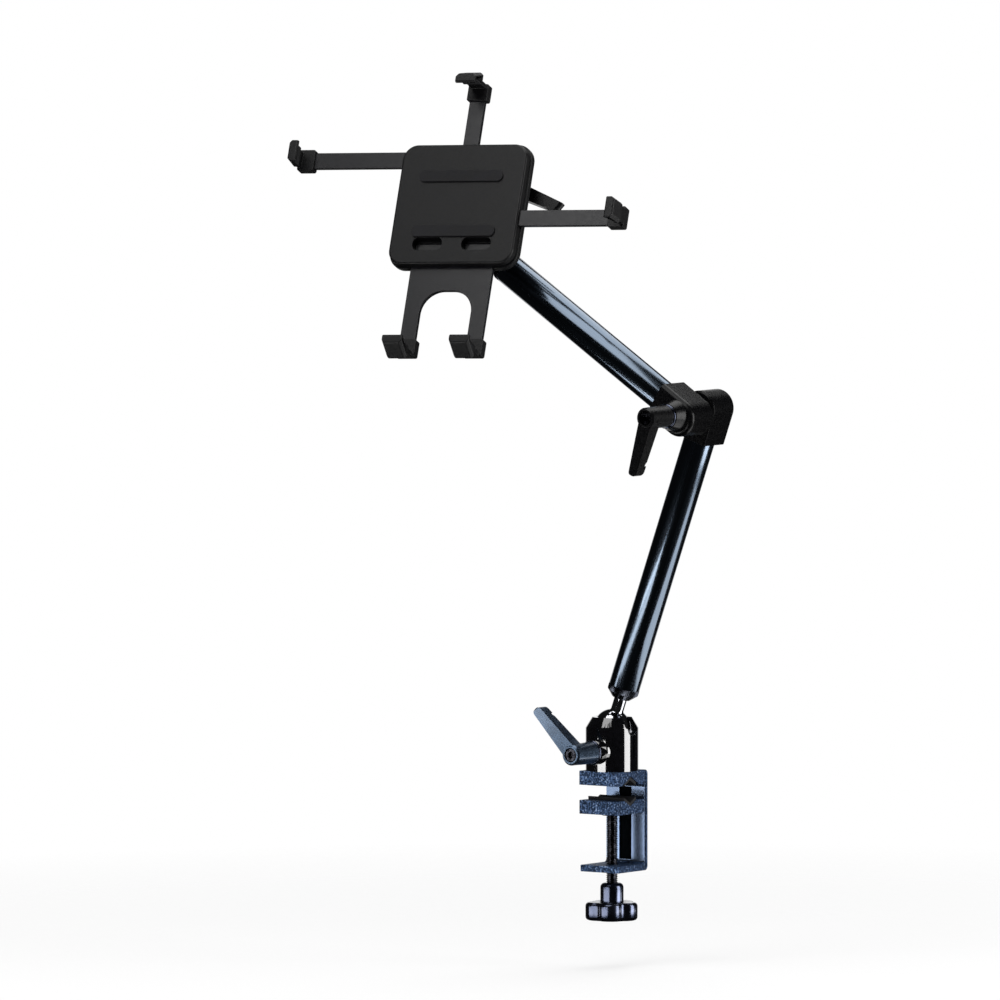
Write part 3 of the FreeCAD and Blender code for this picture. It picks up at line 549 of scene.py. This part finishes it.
class MOUNT_OT_finishes(bpy.types.Operator):
    """Make the finishes and give each solid its own"""
    bl_idname = "mount.finishes"
    bl_label = "Finishes"

    def execute(self, context):
        textured_powder_coat()
        moulded_rubber()
        black_oxide_steel()
        gloss_nylon()
        gloss_enamel()
        polished_chrome()
        drawn_anodised("drawn_anodised_lower", lower_arm_place)
        drawn_anodised("drawn_anodised_upper", upper_arm_place)
        turned_anodised()
        satin_enamel()
        painted_casting("grey_casting", colours().cast_grey, 1.0)
        painted_casting("black_casting", colours().cast_black, 0.1)
        grained_abs()
        painted_strip()
        for name, part in frame["nodes"].items():
            part.data.materials[0] = bpy.data.materials[finish_of_slot[slot_of_node[name]]]
        return {"FINISHED"}


class MOUNT_OT_rail_clamp(bpy.types.Operator):
    """The cast C frame, its moving jaw and the rubber in both grooves"""
    bl_idname = "mount.rail_clamp"
    bl_label = "Rail clamp"

    def execute(self, context):
        for name in ("clamp_frame", "lower_jaw"):
            edged(name, sizes().cast_edge)
        for name in ("upper_jaw_pad", "lower_jaw_pad", "thrust_washer",
                     "base_head_screw", "cradle_head_screw"):
            edged(name, sizes().machined_edge)
        return {"FINISHED"}


class MOUNT_OT_clamp_screw(bpy.types.Operator):
    """The threaded rod, one helix cut square at both ends"""
    bl_idname = "mount.clamp_screw"
    bl_label = "Clamp screw"

    def execute(self, context):
        low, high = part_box("clamp_screw")
        radius = (high.x - low.x) / 2
        depth, pitch = sizes().thread_depth, sizes().thread_pitch
        deselect()
        bpy.ops.mesh.primitive_plane_add(size=MM)
        screw = bpy.context.object
        screw.name = "clamp_screw_thread"
        edit()
        bpy.ops.mesh.merge(type="CENTER")
        bpy.ops.transform.translate(value=(radius - depth, 0, low.z - pitch))
        # the thread's outline over one turn: how far each part of it rises, as a share of the pitch
        root, flank, crest = 0.25, 0.31, 0.13
        for across, up in ((0, root), (depth, flank), (0, crest), (-depth, flank)):
            bpy.ops.mesh.extrude_region_move(TRANSFORM_OT_translate={"value": (across, 0, up * pitch)})
        leave()
        # spare turns stand out at both ends, where the thread is then cut square
        turns, steps = int((high.z - low.z) / pitch) + 3, 32
        modified(screw, "SCREW", axis="Z", angle=2 * pi, screw_offset=pitch, iterations=turns, steps=steps,
                 render_steps=steps, use_merge_vertices=True, merge_threshold=0.01 * MM)
        for height, normal in ((low.z, -1), (high.z, 1)):
            begin(screw)
            edit()
            bpy.ops.mesh.bisect(plane_co=(0, 0, height), plane_no=(0, 0, normal),
                                use_fill=True, clear_outer=True)
            leave()
        edit()
        bpy.ops.mesh.normals_make_consistent(inside=False)
        leave()
        smoothed(screw, angle=40)
        stands_for(screw, "clamp_screw")
        return {"FINISHED"}


class MOUNT_OT_knob(bpy.types.Operator):
    """The five-lobed knob, turned and then drawn in between its lobes, with the plug in its underside"""
    bl_idname = "mount.knob"
    bl_label = "Star knob"

    def execute(self, context):
        low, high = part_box("star_knob")
        bottom, top = low.z / MM, high.z / MM
        # radii and heights in millimetres
        lobe_radius, waist_radius, rim_round, grip_height, dish = 18.4, 15.0, 2.6, 12.4, 0.7
        hub_radius, hub_round, hub_straight, hub_flat = 8.0, 3.2, 6.0, 4.0
        cap_radius, cap_depth = 7.0, 1.5
        grip_top = bottom + grip_height
        rim_centre, hub_centre = lobe_radius - rim_round, hub_radius - hub_round
        # the drawing in starts at this radius, and further rings of points let the flats follow it
        drawn_from, underside_ring, dish_ring, dish_foot = 9.0, 14.5, 12.0, 8.9
        outline = [
            (0, bottom + cap_depth), (cap_radius, bottom + cap_depth), (cap_radius, bottom),
            (drawn_from, bottom), (underside_ring, bottom),
        ]
        outline += arc(rim_round, -90, 0, 5, (rim_centre, bottom + rim_round))
        outline += arc(rim_round, 0, 90, 5, (rim_centre, grip_top - rim_round))
        outline += [
            (dish_ring, grip_top - 0.4), (dish_foot, grip_top - dish), (hub_radius, grip_top - 0.1),
            (hub_radius, grip_top + hub_straight),
        ]
        outline += arc(hub_round, 0, 90, 6, (hub_centre, top - hub_round)) + [(hub_flat, top), (0, top)]
        knob = turned("star_knob_moulding", outline, steps=180)
        # angles in degrees: a lobe's rim falls away on both sides of its middle, and the rim of the waist
        # between two lobes rises to meet it
        lobes, first_lobe, lobe_half, drop = 5, 11, 23, 1.7
        half_pitch = 180 / lobes
        for point in knob.data.vertices:
            radius = sqrt(point.co.x ** 2 + point.co.y ** 2)
            turn = atan2(point.co.y, point.co.x) / DEGREE - first_lobe
            from_lobe = abs((turn + half_pitch) % (2 * half_pitch) - half_pitch)
            if from_lobe < lobe_half:
                rim = lobe_radius - drop * (from_lobe / lobe_half) ** 2
            else:
                rim = waist_radius + drop * ((half_pitch - from_lobe) / (half_pitch - lobe_half)) ** 2
            reach = min(max((radius / MM - drawn_from) / drawn_from, 0), 1)
            share = 1 - (1 - rim / lobe_radius) * reach
            point.co.x *= share
            point.co.y *= share
        smoothed(knob, angle=50)
        stands_for(knob, "star_knob")
        edged("knob_cap", sizes().machined_edge)
        return {"FINISHED"}


class MOUNT_OT_ball_heads(bpy.types.Operator):
    """The two split ball heads"""
    bl_idname = "mount.ball_heads"
    bl_label = "Ball heads"

    def execute(self, context):
        for name in ("base_ball_head", "cradle_ball_head"):
            edged(name, sizes().machined_edge)
        return {"FINISHED"}


class MOUNT_OT_ball_stems(bpy.types.Operator):
    """The polished balls, each turned in one with its stem"""
    bl_idname = "mount.ball_stems"
    bl_label = "Ball stems"

    def execute(self, context):
        # radii, and heights above the ball's centre, in millimetres
        ball_radius, stem_radius, stem_end = 12.5, 4.4, 28.0
        outline = arc(ball_radius, -90, 66, 48) + [
            (4.75, 11.9), (stem_radius, 12.6), (stem_radius, stem_end), (0, stem_end),
        ]
        for name, place in (("base_ball_stem", lower_arm_place), ("cradle_ball_stem", upper_arm_place)):
            stem = turned(name + "_turned", outline, steps=128)
            set_in(stem, place)
            smoothed(stem)
            stands_for(stem, name)
        return {"FINISHED"}


class MOUNT_OT_arms(bpy.types.Operator):
    """The tubes and the knurled plugs that close them"""
    bl_idname = "mount.arms"
    bl_label = "Arms"

    def execute(self, context):
        # radii, and heights above the ball's centre, in millimetres
        radius, bore, stem_hole = 10.75, 9.15, 4.45
        nose, cone_end, band_low, band_high, mouth, plug_end = 22.0, 26.2, 26.6, 29.8, 30.2, 42.2
        nose_radius, cone_radius, mouth_radius = 6.7, 10.6, 10.45
        teeth = sizes().knurl_teeth
        groove_share = 1 - sizes().knurl_depth / (radius * MM)
        slack = 0.2
        for arm, place, end in (("lower", lower_arm_place, 223.7), ("upper", upper_arm_place, 195.2)):
            tube = turned(arm + "_arm_tube_drawn", [
                (bore, mouth), (radius, mouth), (radius, end), (bore, end), (bore, mouth),
            ], steps=128)
            softened(tube, sizes().machined_edge, segments=2)
            set_in(tube, place)
            smoothed(tube)
            stands_for(tube, arm + "_arm_tube", "drawn_anodised_" + arm)
            plug = turned(arm + "_arm_plug_turned", [
                (stem_hole, nose), (nose_radius, nose), (cone_radius, cone_end), (radius, band_low),
                (radius, band_high), (mouth_radius, mouth), (bore, mouth), (bore, plug_end),
                (stem_hole, plug_end), (stem_hole, nose),
            ], steps=2 * teeth)
            # every second row of the band's points is drawn in, so that ridges stand between
            for point in plug.data.vertices:
                row = round(atan2(point.co.y, point.co.x) / pi * teeth)
                if band_low - slack < point.co.z / MM < band_high + slack and row % 2:
                    point.co.x *= groove_share
                    point.co.y *= groove_share
            set_in(plug, place)
            smoothed(plug, angle=25)
            stands_for(plug, arm + "_arm_plug")
        return {"FINISHED"}


class MOUNT_OT_elbow(bpy.types.Operator):
    """The two cast knuckles and the friction disc between them"""
    bl_idname = "mount.elbow"
    bl_label = "Elbow"

    def execute(self, context):
        for name in ("lower_knuckle", "upper_knuckle"):
            edged(name, sizes().cast_edge)
        edged("elbow_washer", sizes().lining_edge)
        return {"FINISHED"}


class MOUNT_OT_levers(bpy.types.Operator):
    """The three ratchet levers with their washers and socket screws"""
    bl_idname = "mount.levers"
    bl_label = "Levers"

    def execute(self, context):
        # radii, and heights above the lever's foot, in millimetres
        shank, head, head_height, chamfer = 2.0, 4.5, 3.5, 0.4
        foot, top = 4.0, 25.3
        seat = top - head_height
        socket_corner = sizes().socket_width / sqrt(3)
        for name in ("base", "elbow", "cradle"):
            place = lever_place(name)
            edged(name + "_lever_handle", sizes().cast_edge)
            edged(name + "_lever_washer", sizes().machined_edge)
            screw = turned(name + "_lever_socket_screw", [
                (0, foot), (shank, foot), (shank, seat), (head, seat), (head, top - chamfer),
                (head - chamfer, top), (0, top),
            ], steps=64)
            deselect()
            bpy.ops.mesh.primitive_cylinder_add(vertices=6, radius=socket_corner,
                                                depth=2 * sizes().socket_depth, location=(0, 0, top * MM))
            hexagon = bpy.context.object
            cut(screw, hexagon)
            set_in(screw, place)
            smoothed(screw)
            stands_for(screw, name + "_lever_cap_screw")
        return {"FINISHED"}


class MOUNT_OT_cradle(bpy.types.Operator):
    """The cradle's shells, rubber strips, bars and hooks"""
    bl_idname = "mount.cradle"
    bl_label = "Cradle"

    def execute(self, context):
        for name in ("cradle_back_shell", "cradle_front_shell"):
            edged(name, sizes().shell_edge)
        for name in ("foot_bracket", "top_bar", "left_bar", "right_bar",
                     "upper_pad_strip", "lower_pad_strip"):
            edged(name, sizes().machined_edge)
        for name in ("top", "left", "right", "lower_left", "lower_right"):
            edged(name + "_hook", sizes().moulded_edge)
            edged(name + "_hook_pad", sizes().lining_edge)
        return {"FINISHED"}


# Stage

# The camera stands 35 degrees round from the clamp's front and 4 degrees above the level
azimuth, elevation = 35 * DEGREE, 4 * DEGREE
camera_right = Vector((cos(azimuth), sin(azimuth), 0))
level_to_camera = Vector((sin(azimuth), -cos(azimuth), 0))
to_camera = level_to_camera * cos(elevation) + Z_AXIS * sin(elevation)
camera_up = to_camera.cross(camera_right)

# The floor lies low enough for the knob to stay above it when the jaw is wide open
floor_level = cad_box[0][2] - 0.032


def set_camera(scene):
    """A long lens from far off, so that near and far pieces keep the same scale."""
    distance, sensor, pixels_across, pixels_per_metre = 12.0, 36, 1000, 1466
    data = bpy.data.cameras.new("camera")
    data.sensor_width = sensor
    data.lens = sensor * distance * pixels_per_metre / pixels_across
    data.clip_end = 100
    camera = bpy.data.objects.new("camera", data)
    scene.collection.objects.link(camera)
    camera.matrix_world = Matrix((camera_right, camera_up, to_camera)).transposed().to_4x4()
    # the middle of the picture lies this far left of the frame's origin and above it
    camera.location = camera_right * -0.0764 + camera_up * 0.1982 + to_camera * distance
    scene.camera = camera


def pale_floor():
    """Pale matt paper: it fades out into the white surroundings, and a mirror sees those through it."""
    tree, place = blank("pale_floor")
    paint = add(tree, "BsdfDiffuse", {"Color": linear("#a0a0a0")})
    rays = add(tree, "LightPath")
    seen = add(tree, "Math", {"operation": "MAXIMUM"}, _0=rays.outputs["Is Camera Ray"],
               _1=rays.outputs["Is Transmission Ray"])
    # the camera sees it brighter than the lamps make it, so that it meets the white without an edge
    glow = add(tree, "Math", {"operation": "MULTIPLY", 1: 0.62}, _0=seen)
    lit = add(tree, "AddShader", _0=paint, _1=add(tree, "Emission", Strength=glow))
    reach = add(tree, "VectorMath", {"operation": "LENGTH"}, _0=place)
    fade = add(tree, "MapRange", stretch(0.0, 1.0, 0.4, 0.95), Value=reach.outputs["Value"])
    clear = add(tree, "Math", {"operation": "MAXIMUM"}, _0=fade, _1=rays.outputs["Is Glossy Ray"])
    both = add(tree, "MixShader", Fac=clear, _1=lit, _2=add(tree, "BsdfTransparent"))
    add(tree, "OutputMaterial", Surface=both)


def lay_floor():
    """A round floor that takes the mount's shadow."""
    deselect()
    bpy.ops.mesh.primitive_circle_add(vertices=96, radius=1.0, fill_type="NGON",
                                      location=(0, 0, floor_level))
    floor = bpy.context.object
    floor.name = "floor"
    pale_floor()
    floor.data.materials.append(bpy.data.materials["pale_floor"])


def around(turn, lift):
    """A direction turned to the right of the camera's and lifted above the level, in degrees."""
    turn, lift = radians(turn), radians(lift)
    return (camera_right * sin(turn) + level_to_camera * cos(turn)) * cos(lift) + Z_AXIS * sin(lift)


def softbox(name, middle, normal, along, size, strength, *unseen):
    """A rectangular lamp that faces along its normal, with its second size along the direction given. The
    camera and the rays named don't see it. Strength is the radiance of its face."""
    data = bpy.data.lights.new(name, "AREA")
    data.shape = "RECTANGLE"
    data.size, data.size_y = size
    data.energy = strength * pi * size[0] * size[1]
    lamp = bpy.data.objects.new(name, data)
    bpy.context.scene.collection.objects.link(lamp)
    across = along.cross(-normal).normalized()
    lamp.matrix_world = Matrix((across, (-normal).cross(across), -normal)).transposed().to_4x4()
    lamp.location = middle
    for ray in ("camera", *unseen):
        setattr(lamp, "visible_" + ray, False)


def hang_lamps():
    """Softboxes that light the mount, and reflector strips that only its gloss shows."""
    middle = (Vector(cad_box[0]) + Vector(cad_box[1])) / 2
    lamp_distance = 1.5
    for name, towards, size, strength, unseen in (
        ("left_softbox", around(-46, 2), (0.95, 1.0), 4.8, ["glossy"]),
        ("right_softbox", around(71, 2), (0.75, 1.1), 6.0, []),
        ("top_softbox", around(-34, 61), (1.0, 1.2), 2.6, []),
        ("rear_softbox", around(140, 64), (1.0, 1.3), 2.6, []),
    ):
        softbox(name, middle + towards * lamp_distance, -towards, Z_AXIS, size, strength, *unseen)
    # two strips beside the ball head
    strip_distance = 0.6
    for name, towards, height, size, strength in (
        ("left_strip", around(-47, 0), -0.015, (0.40, 0.06), 7.0),
        ("low_left_strip", around(-58, 0), -0.13, (0.69, 0.12), 4.2),
    ):
        middle = towards * strip_distance + Z_AXIS * height
        softbox(name, middle, -towards, Z_AXIS, size, strength, "diffuse")
    # two strips just above the floor, which draw lines along the lower tube
    low = Vector((0, 0, floor_level + 0.022))
    for name, away, distance, size, strength in (
        ("right_floor_strip", around(78, 0), 0.47, (0.28, 0.6), 2.6),
        ("left_floor_strip", around(-30, 0), 0.66, (0.06, 0.42), 0.9),
    ):
        softbox(name, low + away * distance, Z_AXIS, away, size, strength, "diffuse")


def light_surroundings(scene):
    """White surroundings. A mirror sees them only behind the mount, with black flags round the rest."""
    world = bpy.data.worlds.new("studio")
    scene.world = world
    world.use_nodes = True
    tree = world.node_tree
    tree.nodes.clear()
    rays = add(tree, "LightPath")
    seen = add(tree, "Math", {"operation": "MAXIMUM"}, _0=rays.outputs["Is Camera Ray"],
               _1=rays.outputs["Is Transmission Ray"])
    toward = add(tree, "VectorMath", {"operation": "DOT_PRODUCT", 1: to_camera},
                 _0=add(tree, "TexCoord").outputs["Generated"])
    # white up to 14 degrees from straight behind the mount, then falling to black at 32 degrees
    behind = add(tree, "MapRange", stretch(1.0, 0.01, -0.97, -0.85), Value=toward.outputs["Value"])
    glossy = add(tree, "Math", {"operation": "MULTIPLY"}, _0=behind, _1=rays.outputs["Is Glossy Ray"])
    whites = add(tree, "Math", {"operation": "MAXIMUM"}, _0=seen, _1=glossy)
    # the white seen there lights the mount only by a part of its strength
    diffuse = add(tree, "Math", {"operation": "MULTIPLY", 1: 0.3}, _0=rays.outputs["Is Diffuse Ray"])
    total = add(tree, "Math", {"operation": "MAXIMUM"}, _0=whites, _1=diffuse)
    ground = add(tree, "Background", {"Color": (1, 1, 1, 1)}, Strength=total)
    add(tree, "OutputWorld", Surface=ground)


class MOUNT_OT_stage(bpy.types.Operator):
    """The floor, lamps, surroundings and camera"""
    bl_idname = "mount.stage"
    bl_label = "Stage"

    def execute(self, context):
        set_camera(context.scene)
        lay_floor()
        hang_lamps()
        light_surroundings(context.scene)
        context.scene.view_settings.view_transform = "Standard"
        return {"FINISHED"}


# Panel and registration

operators = (
    MOUNT_OT_finishes,
    MOUNT_OT_rail_clamp,
    MOUNT_OT_clamp_screw,
    MOUNT_OT_knob,
    MOUNT_OT_ball_heads,
    MOUNT_OT_ball_stems,
    MOUNT_OT_arms,
    MOUNT_OT_elbow,
    MOUNT_OT_levers,
    MOUNT_OT_cradle,
    MOUNT_OT_stage,
)


class MOUNT_PT_panel(bpy.types.Panel):
    """Sizes, colours and the steps that make the mount"""
    bl_idname = "MOUNT_PT_panel"
    bl_label = "Tablet mount"
    bl_space_type = "VIEW_3D"
    bl_region_type = "UI"
    bl_category = "Tablet mount"

    def draw(self, context):
        for group in (context.scene.mount_sizes, context.scene.mount_colours):
            for name in group.__annotations__:
                self.layout.prop(group, name)
        for operator in operators:
            self.layout.operator(operator.bl_idname)


classes = (MountSizes, MountColours, *operators, MOUNT_PT_panel)


def register():
    for item in classes:
        bpy.utils.register_class(item)
    bpy.types.Scene.mount_sizes = PointerProperty(type=MountSizes)
    bpy.types.Scene.mount_colours = PointerProperty(type=MountColours)


def unregister():
    del bpy.types.Scene.mount_sizes
    del bpy.types.Scene.mount_colours
    for item in reversed(classes):
        bpy.utils.unregister_class(item)


def main():
    """Make every piece in turn."""
    register()
    bpy.ops.mount.finishes()
    bpy.ops.mount.stage()
    bpy.ops.mount.rail_clamp()
    bpy.ops.mount.clamp_screw()
    bpy.ops.mount.knob()
    bpy.ops.mount.ball_heads()
    bpy.ops.mount.ball_stems()
    bpy.ops.mount.arms()
    bpy.ops.mount.elbow()
    bpy.ops.mount.levers()
    bpy.ops.mount.cradle()


if __name__ == "__main__":
    main()
